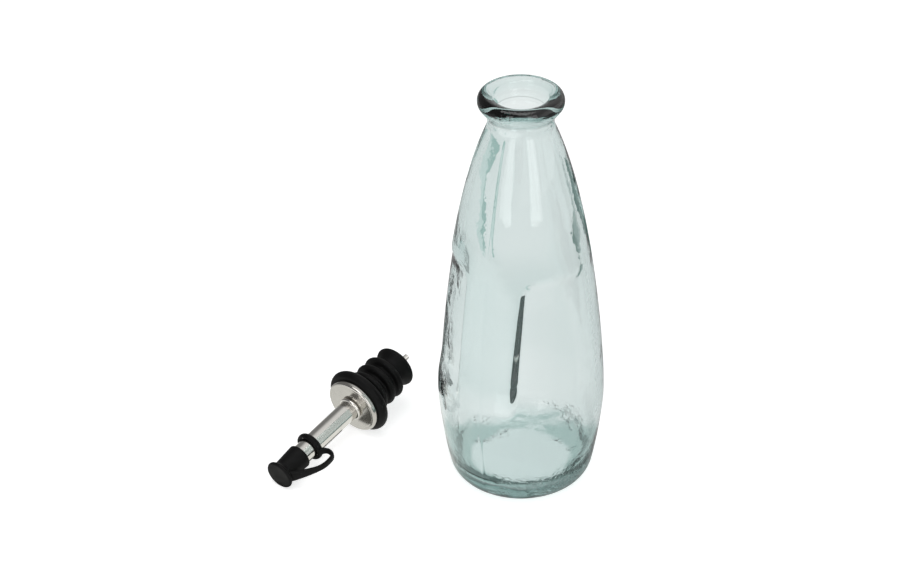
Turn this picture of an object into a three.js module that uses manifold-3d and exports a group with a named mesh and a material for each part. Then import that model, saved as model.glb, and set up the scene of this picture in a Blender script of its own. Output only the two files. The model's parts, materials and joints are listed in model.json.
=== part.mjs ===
// A glass oil bottle and its pourer, in millimetres, +Z up.
// The bottle stands on the origin with its raised front band towards -Y. The pourer lies on the same
// surface at its left: a steel spout through a ribbed rubber stopper, with a tethered cap on the tip.
import * as THREE from 'three';
import { mergeVertices } from 'three/addons/utils/BufferGeometryUtils.js';
import Module from 'manifold-3d';

const wasm = await Module();
wasm.setup();

// Gap kept between pieces that touch on the real object
const FIT_GAP = 0.3;

// Bottle, outside
const BOTTLE_HEIGHT = 220;
const FOOT_RADIUS = 26.4;
const HEEL_RADIUS = 10.6;
const BELLY_RADIUS = 42.3;
const BELLY_HEIGHT = 51;
const NECK_RADIUS = 16.2;
const NECK_DROP = 14.2;
const LIP_RADIUS = 21.1;
const LIP_HEIGHT = 7.6;

// How full the outline runs between those sizes: lengths of the curves' handles, and leans in degrees
const HEEL_LEAN = 17;
const HEEL_HANDLE = 7;
const BELLY_HANDLE_BELOW = 10.5;
const BELLY_HANDLE_ABOVE = 21;
const SHOULDER_LEAN = 23;
const SHOULDER_HANDLE = 47.4;
const SHOULDER_DROP = 5;
const SHOULDER_STEP = 1.05;
const NECK_HANDLE = 2.2;
const LIP_HANDLE = 4.2;
const LIP_UNDERCUT = 35;

// Bottle, inside
const BORE_RADIUS = 12.4;
const MOUTH_EASE = 0.6;
const MOUTH_TAPER = 1.9;
const WALL = 4;
const FLOOR = 7;
const INNER_FOOT_RADIUS = 21;
const INNER_HEEL_RADIUS = 14.5;

// The two recessed panels, mirrored about the raised front band
const BAND_HALF_WIDTH = 14.5;
const BAND_LEAN = 2;
const PANEL_TOP = 134;
const PANEL_BOTTOM = 57;
const PANEL_RAMP = 16;
const PANEL_STEP = 6;
const PANEL_CORNER = 8;
const PANEL_DEPTH = 3.2;
const PANEL_FADE_FROM = 30;
const PANEL_FADE_TO = 95;
const INNER_DENT = 1.9;
const INNER_STEP = 12;

// Pourer, steel. Its axis is local Y: the stopper seats at 0, the spout points to -Y.
const TUBE_RADIUS = 5.5;
const TUBE_WALL = 0.5;
const SPOUT_LENGTH = 52;
const TIP_SLANT = 30;
const DISC_RADIUS = 15.4;
const DISC_HEIGHT = 3.1;
const DISC_SHEET = 1;
const DISC_EDGE = 1.3;
const COLLAR_RADIUS = 6.6;
const COLLAR_LENGTH = 2;
const AIR_TUBE_RADIUS = 1.45;
const AIR_TUBE_WALL = 0.4;
const AIR_TUBE_REACH = 6.4;
const AIR_TUBE_INSET = 9;
const AIR_TUBE_TURN = 45;

// Pourer, rubber stopper
const FLANGE_RADIUS = 18.5;
const FLANGE_THICKNESS = 6;
const RIB_COUNT = 3;
const RIB_SQUEEZE = 0.2;
const RIB_PITCH = 6.65;
const RIB_NOSE = 1.9;
const FIRST_RIB = 10.6;
const CORE_RADIUS = 9.4;
const BELL_RADIUS = 11.7;
const BELL_LENGTH = 9.2;
const BELL_ROUND = 1.6;
const BELL_RIM = 2.6;
const BELL_DISH = 3;

// Pourer, rubber cap, ring and strap
const CAP_GRIP = 9.8;
const CAP_END_LENGTH = 7;
const CAP_MOUTH_RADIUS = 6.7;
const CAP_NECK_RADIUS = 5.9;
const CAP_NECK_HEIGHT = 4.6;
const CAP_DISC_RADIUS = 7.9;
const CAP_DISC_ROUND = 1.1;
const CAP_EDGE = 0.5;
const RING_RADIUS = 7.9;
const RING_LENGTH = 3.4;
const RING_FROM_CAP = 8.2;
const STRAP_WIDTH = 3.2;
const STRAP_THICKNESS = 1.8;
const STRAP_REACH = 15.7;
const STRAP_PAST_RING = 2.2;
const STRAP_ROOT_HEIGHT = 4.5;

// The strap's route, chosen by eye: how far it has gone out to its reach, and along to its far bend
const STRAP_ROUTE = [
  [-0.25, -0.1], [0.12, 0], [0.7, 0.33], [0.95, 0.55], [1, 0.76],
  [0.9, 0.93], [0.56, 1], [0.28, 0.97], [0.1, 0.9],
];

// Where the pourer lies: its seat in plan, and the compass heading of the stopper end from +X
const POURER_X = -90.6;
const POURER_Y = -14.2;
const POURER_HEADING = 80;

// Facets: pieces to a full turn, and to a curve
const BOTTLE_SEGMENTS = 60;
const STOPPER_SEGMENTS = 36;
const SMALL_SEGMENTS = 32;
const AIR_TUBE_SEGMENTS = 16;
const SIDE_PIECES = 5;
const BODY_PIECES = 19;
const INNER_SIDE_PIECES = 3;
const INNER_BODY_PIECES = 10;
const NAPE_PIECES = 2;
const SMALL_ROUND_PIECES = 4;
const LARGE_ROUND_PIECES = 8;
const STRAP_PIECES = 28;

// Points nearer than this are one point
const SAME_POINT = 1e-4;

const FULL_TURN = 2 * Math.PI;
const QUARTER = Math.PI / 2;
const rad = THREE.MathUtils.degToRad;
const at = (radius, height) => new THREE.Vector2(radius, height);

const finishes = {
  glass: { color: 0xd4ebe6, roughness: 0.04, metalness: 0, transparent: true, opacity: 0.45 },
  steel: { color: 0xc9c7c2, roughness: 0.22, metalness: 1 },
  rubber: { color: 0x1b1c1d, roughness: 0.6, metalness: 0 },
};
const material = Object.fromEntries(
  Object.entries(finishes).map(([name, look]) => [name, new THREE.MeshStandardMaterial(look)]),
);

// A point at a distance along a lean, measured in degrees from +Y towards -X.
function leaning(from, lean, distance) {
  return at(from.x - distance * Math.sin(rad(lean)), from.y + distance * Math.cos(rad(lean)));
}

// The points of an outline, from stretches that are a point or a curve with its number of pieces.
function outline(...stretches) {
  const points = stretches.flatMap((s) => (s.isVector2 ? [s] : s[0].getPoints(s[1])));
  return points.filter((p, i) => i === 0 || p.distanceTo(points[i - 1]) > SAME_POINT);
}

// The same outline, closed on itself: a ring when it is turned.
function ring(...stretches) {
  const points = outline(...stretches);
  return [...points, points[0].clone()];
}

function arc(x, y, radius, from, to) {
  return new THREE.EllipseCurve(x, y, radius, radius, from, to, to < from);
}

function turned(points, segments) {
  return new THREE.LatheGeometry(points, segments);
}

function solidOf(geometry) {
  const bare = geometry.clone();
  bare.deleteAttribute('normal');
  bare.deleteAttribute('uv');
  const merged = mergeVertices(bare, SAME_POINT);
  const vertProperties = merged.attributes.position.array;
  const triVerts = new Uint32Array(merged.index.array);
  return new wasm.Manifold(new wasm.Mesh({ numProp: 3, vertProperties, triVerts }));
}

function geometryOf(solid) {
  const mesh = solid.getMesh();
  const geometry = new THREE.BufferGeometry();
  geometry.setAttribute('position', new THREE.BufferAttribute(mesh.vertProperties, 3));
  geometry.setIndex(new THREE.BufferAttribute(mesh.triVerts, 1));
  geometry.computeVertexNormals();
  return geometry;
}

function piece(name, geometry, look) {
  const mesh = new THREE.Mesh(geometry, look);
  mesh.name = name;
  return mesh;
}

// From the foot to the belly, for the outside or the inside of the glass.
function lowerSide(foot, floor, heel, belly) {
  const turn = arc(foot, floor + heel, heel, -QUARTER, -rad(HEEL_LEAN));
  const start = turn.getPoint(1);
  const handle = leaning(start, -HEEL_LEAN, HEEL_HANDLE);
  const top = at(belly, BELLY_HEIGHT);
  const below = at(belly, BELLY_HEIGHT - BELLY_HANDLE_BELOW);
  return [turn, new THREE.CubicBezierCurve(start, handle, below, top)];
}

// From the belly to the narrowest point of the neck.
function upperSide(belly, shoulder, neck) {
  const start = at(belly, BELLY_HEIGHT);
  const above = at(belly, BELLY_HEIGHT + BELLY_HANDLE_ABOVE);
  const below = leaning(shoulder, SHOULDER_LEAN, -SHOULDER_HANDLE);
  const reach = SHOULDER_DROP / 2;
  const bend = leaning(shoulder, SHOULDER_LEAN, reach);
  return [
    new THREE.CubicBezierCurve(start, above, below, shoulder),
    new THREE.CubicBezierCurve(shoulder, bend, at(neck.x, neck.y - reach), neck),
  ];
}

function reversed(curve, pieces) {
  return curve.getPoints(pieces).reverse();
}

// How far the glass is pressed in at an angle from the front, a height and a radius there.
function panelDepth(angle, height, radius, depth, step) {
  const middle = (PANEL_TOP + PANEL_BOTTOM) / 2;
  const lean = (BAND_LEAN * (height - middle)) / (PANEL_TOP - PANEL_BOTTOM);
  const fromBand = Math.abs(angle * radius - lean) - BAND_HALF_WIDTH;
  const fromTop = PANEL_TOP - height;
  const cornerX = Math.max(PANEL_CORNER - fromBand, 0);
  const cornerY = Math.max(PANEL_CORNER - fromTop, 0);
  const inset = PANEL_CORNER - Math.hypot(cornerX, cornerY);
  const edge = THREE.MathUtils.smoothstep(inset, 0, step);
  const ramp = THREE.MathUtils.smoothstep(height, PANEL_BOTTOM, PANEL_BOTTOM + PANEL_RAMP);
  const aside = THREE.MathUtils.radToDeg(Math.abs(angle));
  const fade = 1 - THREE.MathUtils.smoothstep(aside, PANEL_FADE_FROM, PANEL_FADE_TO);
  return depth * edge * ramp * fade;
}

function bottleGlass() {
  const neck = at(NECK_RADIUS, BOTTLE_HEIGHT - NECK_DROP);
  const shoulder = at(NECK_RADIUS + SHOULDER_STEP, neck.y - SHOULDER_DROP);
  const lipWidth = LIP_RADIUS - BORE_RADIUS - MOUTH_EASE;
  const lipMiddle = at(LIP_RADIUS - lipWidth / 2, BOTTLE_HEIGHT - LIP_HEIGHT / 2);
  const lip = new THREE.EllipseCurve(
    lipMiddle.x, lipMiddle.y, lipWidth / 2, LIP_HEIGHT / 2, -rad(LIP_UNDERCUT), Math.PI,
  );
  const lipStart = lip.getPoint(0);
  const lipTangent = lip.getTangent(0);
  const throat = new THREE.CubicBezierCurve(
    neck,
    at(neck.x, neck.y + NECK_HANDLE),
    lipStart.clone().addScaledVector(lipTangent, -LIP_HANDLE),
    lipStart,
  );
  const [heel, side] = lowerSide(FOOT_RADIUS, 0, HEEL_RADIUS, BELLY_RADIUS);
  const [body, nape] = upperSide(BELLY_RADIUS, shoulder, neck);
  const outside = outline(
    at(0, 0),
    [heel, SMALL_ROUND_PIECES],
    [side, SIDE_PIECES],
    [body, BODY_PIECES],
    [nape, NAPE_PIECES],
    [throat, SMALL_ROUND_PIECES],
    [lip, LARGE_ROUND_PIECES],
  );

  const bore = at(BORE_RADIUS, neck.y);
  const innerShoulder = at(shoulder.x - (NECK_RADIUS - BORE_RADIUS), shoulder.y);
  const innerBelly = BELLY_RADIUS - WALL;
  const [innerHeel, innerSide] = lowerSide(INNER_FOOT_RADIUS, FLOOR, INNER_HEEL_RADIUS, innerBelly);
  const [innerBody, innerNape] = upperSide(innerBelly, innerShoulder, bore);
  const inside = outline(
    at(BORE_RADIUS, lipMiddle.y - MOUTH_TAPER),
    ...reversed(innerNape, NAPE_PIECES),
    ...reversed(innerBody, INNER_BODY_PIECES),
    ...reversed(innerSide, INNER_SIDE_PIECES),
    ...reversed(innerHeel, SMALL_ROUND_PIECES),
    at(0, FLOOR),
  );

  const points = outline(...outside, ...inside);
  const geometry = turned(points, BOTTLE_SEGMENTS);
  const position = geometry.attributes.position;
  const vertex = new THREE.Vector3();
  for (let i = 0; i < position.count; i++) {
    vertex.fromBufferAttribute(position, i);
    const radius = Math.hypot(vertex.x, vertex.z);
    if (radius < BORE_RADIUS) continue;
    const angle = Math.atan2(vertex.x, vertex.z);
    const isOutside = i % points.length < outside.length;
    const depth = isOutside ? PANEL_DEPTH : INNER_DENT;
    const step = isOutside ? PANEL_STEP : INNER_STEP;
    const pressed = 1 - panelDepth(angle, vertex.y, radius, depth, step) / radius;
    position.setXYZ(i, vertex.x * pressed, vertex.y, vertex.z * pressed);
  }
  geometry.computeVertexNormals();
  return geometry.rotateX(QUARTER);
}

// Places along the pourer's axis that several pieces share
const discFace = -FIT_GAP - DISC_HEIGHT;
const spoutTip = discFace - SPOUT_LENGTH;
const capMouth = spoutTip + CAP_GRIP;
const capBottom = spoutTip - FIT_GAP;
const capEnd = capBottom - CAP_END_LENGTH;
const ringMiddle = capMouth + RING_FROM_CAP;
const flangeMiddle = FLANGE_THICKNESS / 2;
const lastRib = FIRST_RIB + (RIB_COUNT - 1) * RIB_PITCH;
const stopperEnd = lastRib + RIB_NOSE + BELL_LENGTH;
const snugRadius = TUBE_RADIUS + FIT_GAP;

function spoutTube() {
  const bore = TUBE_RADIUS - TUBE_WALL;
  const end = stopperEnd - BELL_DISH;
  const points = ring(at(TUBE_RADIUS, spoutTip), at(TUBE_RADIUS, end), at(bore, end), at(bore, spoutTip));
  const block = 4 * TUBE_RADIUS;
  const cutter = new THREE.BoxGeometry(block, block, block);
  cutter.translate(0, -block / 2, 0);
  cutter.rotateX(rad(TIP_SLANT));
  cutter.translate(0, spoutTip + TUBE_RADIUS * Math.tan(rad(TIP_SLANT)), 0);
  return geometryOf(solidOf(turned(points, SMALL_SEGMENTS)).subtract(solidOf(cutter)));
}

function spoutCollar() {
  const foot = discFace - FIT_GAP;
  const round = COLLAR_LENGTH / 2;
  const bead = new THREE.EllipseCurve(
    snugRadius, foot - round, COLLAR_RADIUS - snugRadius, round, -QUARTER, QUARTER,
  );
  return turned(ring([bead, LARGE_ROUND_PIECES]), SMALL_SEGMENTS);
}

function flangeDisc() {
  const back = -FIT_GAP;
  const inner = DISC_RADIUS - DISC_SHEET;
  const edge = arc(DISC_RADIUS - DISC_EDGE, discFace + DISC_EDGE, DISC_EDGE, -QUARTER, 0);
  return turned(
    ring(
      at(snugRadius, discFace),
      [edge, SMALL_ROUND_PIECES],
      at(DISC_RADIUS, back),
      at(inner, back),
      at(inner, discFace + DISC_SHEET),
      at(snugRadius, discFace + DISC_SHEET),
    ),
    STOPPER_SEGMENTS,
  );
}

function stopper() {
  const padRadius = DISC_RADIUS - DISC_SHEET - FIT_GAP;
  const padTop = discFace + DISC_SHEET + FIT_GAP;
  const ribRadius = BORE_RADIUS + RIB_SQUEEZE;
  const flangeRim = arc(FLANGE_RADIUS - flangeMiddle, flangeMiddle, flangeMiddle, -QUARTER, QUARTER);
  const ribs = [];
  for (let i = 0; i < RIB_COUNT; i++) {
    const middle = FIRST_RIB + i * RIB_PITCH;
    ribs.push(at(CORE_RADIUS, middle - RIB_PITCH / 2));
    ribs.push([arc(ribRadius - RIB_NOSE, middle, RIB_NOSE, -QUARTER, QUARTER), SMALL_ROUND_PIECES]);
  }
  const waist = at(CORE_RADIUS, lastRib + RIB_PITCH / 2);
  const rimStart = at(BELL_RADIUS, stopperEnd - BELL_ROUND);
  const flare = new THREE.QuadraticBezierCurve(waist, at(CORE_RADIUS, rimStart.y - BELL_ROUND), rimStart);
  const rim = arc(BELL_RADIUS - BELL_ROUND, stopperEnd - BELL_ROUND, BELL_ROUND, 0, QUARTER);
  return turned(
    ring(
      at(snugRadius, padTop),
      at(padRadius, padTop),
      at(padRadius, 0),
      [flangeRim, SMALL_ROUND_PIECES],
      at(CORE_RADIUS, FLANGE_THICKNESS),
      ...ribs,
      waist,
      [flare, SMALL_ROUND_PIECES],
      [rim, SMALL_ROUND_PIECES],
      at(BELL_RADIUS - BELL_RIM, stopperEnd),
      at(snugRadius, stopperEnd - BELL_DISH),
    ),
    STOPPER_SEGMENTS,
  );
}

function airTube() {
  const bore = AIR_TUBE_RADIUS - AIR_TUBE_WALL;
  const from = spoutTip + AIR_TUBE_INSET;
  const to = stopperEnd + AIR_TUBE_REACH;
  const points = ring(at(AIR_TUBE_RADIUS, from), at(AIR_TUBE_RADIUS, to), at(bore, to), at(bore, from));
  const offset = TUBE_RADIUS - TUBE_WALL - AIR_TUBE_RADIUS - FIT_GAP;
  return turned(points, AIR_TUBE_SEGMENTS).translate(0, 0, offset).rotateY(rad(AIR_TUBE_TURN));
}

// The cap's outside from its closed end to its mouth, grown by a margin.
function capOutside(margin) {
  const knob = arc(
    CAP_DISC_RADIUS - CAP_DISC_ROUND, capEnd + CAP_DISC_ROUND, CAP_DISC_ROUND + margin, -QUARTER, QUARTER,
  );
  const neck = at(CAP_NECK_RADIUS + margin, capEnd + CAP_NECK_HEIGHT);
  const mouth = at(CAP_MOUTH_RADIUS + margin, capMouth - CAP_EDGE);
  return outline(at(0, capEnd - margin), [knob, LARGE_ROUND_PIECES], neck, mouth);
}

function spoutCap() {
  return turned(
    outline(
      ...capOutside(0),
      at(CAP_MOUTH_RADIUS - CAP_EDGE, capMouth),
      at(snugRadius, capMouth),
      at(snugRadius, capBottom),
      at(0, capBottom),
    ),
    SMALL_SEGMENTS,
  );
}

function ringBead(margin) {
  const middle = (RING_RADIUS + snugRadius) / 2;
  const half = (RING_RADIUS - snugRadius) / 2 + margin;
  const length = RING_LENGTH / 2 + margin;
  const bead = new THREE.EllipseCurve(middle, ringMiddle, half, length, 0, FULL_TURN);
  return turned(outline([bead, LARGE_ROUND_PIECES]), SMALL_SEGMENTS);
}

// A flat strap from the cap's flank out to the side and back to the ring, cut clear of both.
function tetherStrap() {
  const root = capEnd + STRAP_ROOT_HEIGHT;
  const far = ringMiddle + STRAP_PAST_RING;
  const route = new THREE.CatmullRomCurve3(
    STRAP_ROUTE.map(([out, along]) => {
      const x = THREE.MathUtils.lerp(CAP_NECK_RADIUS, STRAP_REACH, out);
      return new THREE.Vector3(x, THREE.MathUtils.lerp(root, far, along), 0);
    }),
  );
  const x = STRAP_WIDTH / 2;
  const y = STRAP_THICKNESS / 2;
  const ease = y / 2;
  const section = new THREE.Shape();
  section.moveTo(x, ease - y).lineTo(x, y - ease).lineTo(x - ease, y).lineTo(ease - x, y);
  section.lineTo(-x, y - ease).lineTo(-x, ease - y).lineTo(ease - x, -y).lineTo(x - ease, -y);
  const swept = new THREE.ExtrudeGeometry(section, { extrudePath: route, steps: STRAP_PIECES });
  const cap = solidOf(turned(outline(...capOutside(FIT_GAP), at(0, capMouth)), SMALL_SEGMENTS));
  return geometryOf(solidOf(swept).subtract(cap).subtract(solidOf(ringBead(FIT_GAP))));
}

// The pourer lies on two round rims, the stopper's flange and the cap's end disc.
function placePourer(pourer) {
  const along = flangeMiddle - (capEnd + CAP_DISC_ROUND);
  const flangeCircle = FLANGE_RADIUS - flangeMiddle;
  const capCircle = CAP_DISC_RADIUS - CAP_DISC_ROUND;
  const drop = flangeCircle - capCircle;
  const roundness = (flangeMiddle - CAP_DISC_ROUND) / Math.hypot(along, drop);
  const tilt = Math.atan2(drop, along) + Math.asin(roundness);
  const height = flangeCircle * Math.cos(tilt) + flangeMiddle - flangeMiddle * Math.sin(tilt);
  pourer.position.set(POURER_X, POURER_Y, height);
  pourer.rotation.set(tilt, 0, rad(POURER_HEADING) - QUARTER, 'ZYX');
}

const pourer = new THREE.Group();
pourer.add(
  piece('spout_tube', spoutTube(), material.steel),
  piece('spout_collar', spoutCollar(), material.steel),
  piece('flange_disc', flangeDisc(), material.steel),
  piece('stopper', stopper(), material.rubber),
  piece('air_tube', airTube(), material.steel),
  piece('spout_cap', spoutCap(), material.rubber),
  piece('tether_ring', ringBead(0), material.rubber),
  piece('tether_strap', tetherStrap(), material.rubber),
);
placePourer(pourer);

const bottle = new THREE.Group();
bottle.add(piece('bottle_glass', bottleGlass(), material.glass), pourer);

export default bottle;
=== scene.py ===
"""Looks of a glass oil bottle and its pourer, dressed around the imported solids.

Each piece is a grid of points worked out with numpy, and stands for one solid of the frame. Sizes are in
millimetres and turn into metres when a piece is placed. Sizes of finishes and of the studio are in metres.
"""

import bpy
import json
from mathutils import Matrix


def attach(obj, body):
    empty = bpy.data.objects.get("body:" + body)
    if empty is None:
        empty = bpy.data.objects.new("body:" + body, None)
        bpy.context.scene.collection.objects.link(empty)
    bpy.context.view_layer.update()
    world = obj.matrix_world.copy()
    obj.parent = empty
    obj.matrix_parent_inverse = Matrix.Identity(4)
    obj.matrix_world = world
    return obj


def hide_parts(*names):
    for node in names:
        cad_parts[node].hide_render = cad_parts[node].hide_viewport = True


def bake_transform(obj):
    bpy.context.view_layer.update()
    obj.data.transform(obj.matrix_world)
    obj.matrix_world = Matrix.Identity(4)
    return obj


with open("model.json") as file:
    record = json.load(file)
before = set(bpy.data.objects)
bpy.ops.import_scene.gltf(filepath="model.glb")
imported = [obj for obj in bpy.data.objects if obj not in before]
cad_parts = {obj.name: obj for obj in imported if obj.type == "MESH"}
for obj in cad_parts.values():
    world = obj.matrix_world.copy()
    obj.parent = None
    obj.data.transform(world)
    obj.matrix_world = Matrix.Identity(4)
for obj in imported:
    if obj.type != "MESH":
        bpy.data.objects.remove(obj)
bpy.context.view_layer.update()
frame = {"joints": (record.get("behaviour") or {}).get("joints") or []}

import json
import logging
import math
from dataclasses import dataclass, field
from enum import Enum

import bpy
import numpy as np
from mathutils import Matrix, Vector

LOG = logging.getLogger("bottle")
MM = 0.001
# Points closer than this, in millimetres, are one
SAME_POINT = 1e-4
# Edges that turn by more degrees than this look sharp
SHARP_ANGLE = 50.0
# Most values of a noise lie between these
NOISE_MIDDLE = (0.25, 0.75)
# Where the ring lies along the pourer's axis, in millimetres from the stopper's seat
RING_STATION = -37.4
# The side that the two left cards share: metres to the camera's right and away from it
LEFT_SIDE = ((-0.038, 0.165), (-0.043, 0.262), (-0.05, 0.345), (-0.13, 0.425), (-0.3, 0.62))

Pair = tuple[float, float]
Colour = tuple[float, float, float]
Array = np.ndarray
Piece = bpy.types.Object
Material = bpy.types.Material
Socket = bpy.types.NodeSocket
Value = Socket | float


class Ends(Enum):
    """How the rows of a grid end."""

    POLES = "the first and the last row are single points"
    RING = "the last row joins the first"


class Grain(Enum):
    """Which way the fine marks run on turned metal."""

    LENGTHWISE = "along the axis"
    TURNED = "round the axis"


@dataclass(frozen=True)
class Place:
    """A local frame in the row frame, whose y runs along the axis of what is turned in it."""

    origin: Array
    across: Array
    along: Array
    up: Array

    @classmethod
    def on_axis(cls, origin: Array, along: Array) -> "Place":
        """The frame on a slanted axis, with its x level.

        Args:
            origin: The local origin, in metres.
            along: The axis, of any length.

        Returns:
            The frame.
        """
        along = along / np.linalg.norm(along)
        across = np.array([along[1], -along[0], 0.0])
        across /= np.linalg.norm(across)
        return cls(origin, across, along, np.cross(across, along))

    def points(self, local: Array) -> Array:
        """Row points in metres: origin + x across + y along + z up."""
        return self.origin + MM * local @ np.stack([self.across, self.along, self.up])

    def matrix(self) -> Matrix:
        """The frame as a matrix, for the patterns that follow it."""
        rows = np.stack([self.across, self.along, self.up, self.origin], axis=1)
        return Matrix(np.vstack([rows, [0, 0, 0, 1]]).tolist())


def bezier(start: Pair, handle: Pair, second: Pair, stop: Pair, count: int) -> Array:
    """Points of a cubic curve: the four controls weighted by the Bernstein polynomials.

    Args:
        start: First point.
        handle: Its handle.
        second: The handle of the last point.
        stop: Last point.
        count: Number of points.

    Returns:
        Points, one row each.
    """
    t = np.linspace(0, 1, count)[:, None]
    controls = np.array([start, handle, second, stop], float)
    weights = np.hstack([(1 - t) ** 3, 3 * (1 - t) ** 2 * t, 3 * (1 - t) * t ** 2, t ** 3])
    return weights @ controls


def arc(centre: Pair, radii: Pair | float, start: float, stop: float, count: int) -> Array:
    """Points of an ellipse or circle: centre + radii times (cosine, sine) of angles in degrees.

    Args:
        centre: Middle of the ellipse.
        radii: Its two radii, or the radius of a circle.
        start: First angle.
        stop: Last angle.
        count: Number of points.

    Returns:
        Points, one row each.
    """
    angle = np.radians(np.linspace(start, stop, count))
    return np.array(centre) + np.array(radii) * np.stack([np.cos(angle), np.sin(angle)], axis=1)


def line(start: Pair, stop: Pair, count: int) -> Array:
    """Even points on the straight line from start to stop, both included."""
    return np.linspace(start, stop, count)


def outline(*stretches: Array) -> Array:
    """Stretches joined into one line, without the points that repeat.

    Args:
        stretches: Arrays of points, in order.

    Returns:
        Points, one row each.
    """
    points = np.vstack(stretches)
    step = np.linalg.norm(np.diff(points, axis=0), axis=1)
    return points[np.concatenate([[True], step > SAME_POINT])]


def turned(profile: Array, angle: Array) -> Array:
    """A profile carried round the local y axis: (r sin a, h, r cos a) for each radius, height and angle.

    Args:
        profile: Radius and height, one row each.
        angle: Angles of the columns, or of every point.

    Returns:
        Local points, profile by angle by three.
    """
    radius, height = profile[:, :1], profile[:, 1:]
    angle = np.broadcast_to(angle, (len(profile), np.shape(angle)[-1]))
    height = np.broadcast_to(height, angle.shape)
    return np.stack([radius * np.sin(angle), height, radius * np.cos(angle)], axis=-1)


def round_angles(count: int) -> Array:
    """Even angles of a full turn."""
    return np.linspace(0, 2 * np.pi, count, endpoint=False)


def smooth_step(value: Array, low: float, high: float) -> Array:
    """From 0 to 1 as 3t^2 - 2t^3 while value goes from low to high."""
    t = np.clip((value - low) / (high - low), 0, 1)
    return t * t * (3 - 2 * t)


def bump(distance: Array, width: float) -> Array:
    """A bell curve: exp(-(distance / width)^2)."""
    return np.exp(-((distance / width) ** 2))


def soft_ramp(value: Array, width: float, sharpness: float) -> Array:
    """A straight ramp with eased ends: softplus(t) - softplus(t - 1), with t the share of the width.

    Args:
        value: Distance from the start of the ramp.
        width: Length of the ramp.
        sharpness: How tight the ends turn.

    Returns:
        Values from 0 to 1.
    """
    t = value / width
    return (np.logaddexp(0, sharpness * t) - np.logaddexp(0, sharpness * (t - 1))) / sharpness


def placed(name: str, data: bpy.types.ID) -> Piece:
    """Puts a mesh, lamp or camera into the scene.

    Args:
        name: Name of the object.
        data: What it holds.

    Returns:
        The object, at the origin.
    """
    item = bpy.data.objects.new(name, data)
    bpy.context.scene.collection.objects.link(item)
    return item


def solid(name: str, points: Array, ends: Ends) -> Piece:
    """Makes a closed mesh of a grid whose columns run round.

    The faces join each point to its neighbours in the next row and column. With poles, fans close the ends.

    Args:
        name: Name of the piece.
        points: Row points in metres, rows by columns by three.
        ends: How the rows end.

    Returns:
        The object, at the origin.
    """
    rows, cols = points.shape[:2]
    if ends is Ends.POLES:
        first, last = points[0, :1], points[-1, :1]
        points = points[1:-1]
        rows -= 2
    index = np.arange(rows * cols).reshape(rows, cols)
    upper = np.roll(index, -1, axis=0)
    if ends is Ends.POLES:
        index, upper = index[:-1], upper[:-1]
    corners = [index, np.roll(index, -1, axis=1), np.roll(upper, -1, axis=1), upper]
    faces = np.stack(corners, axis=-1).reshape(-1, 4).tolist()
    vertices = points.reshape(-1, 3)
    if ends is Ends.POLES:
        ring = np.arange(cols)
        after = np.roll(ring, -1)
        base = len(vertices)
        top = base - cols
        faces += np.stack([np.full(cols, base), after, ring], axis=1).tolist()
        faces += np.stack([top + ring, top + after, np.full(cols, base + 1)], axis=1).tolist()
        vertices = np.vstack([vertices, first, last])
    mesh = bpy.data.meshes.new(name)
    mesh.from_pydata(vertices.tolist(), [], faces)
    mesh.polygons.foreach_set("use_smooth", np.ones(len(faces), bool))
    mesh.set_sharp_from_angle(angle=math.radians(SHARP_ANGLE))
    mesh.validate()
    return placed(name, mesh)


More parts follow.
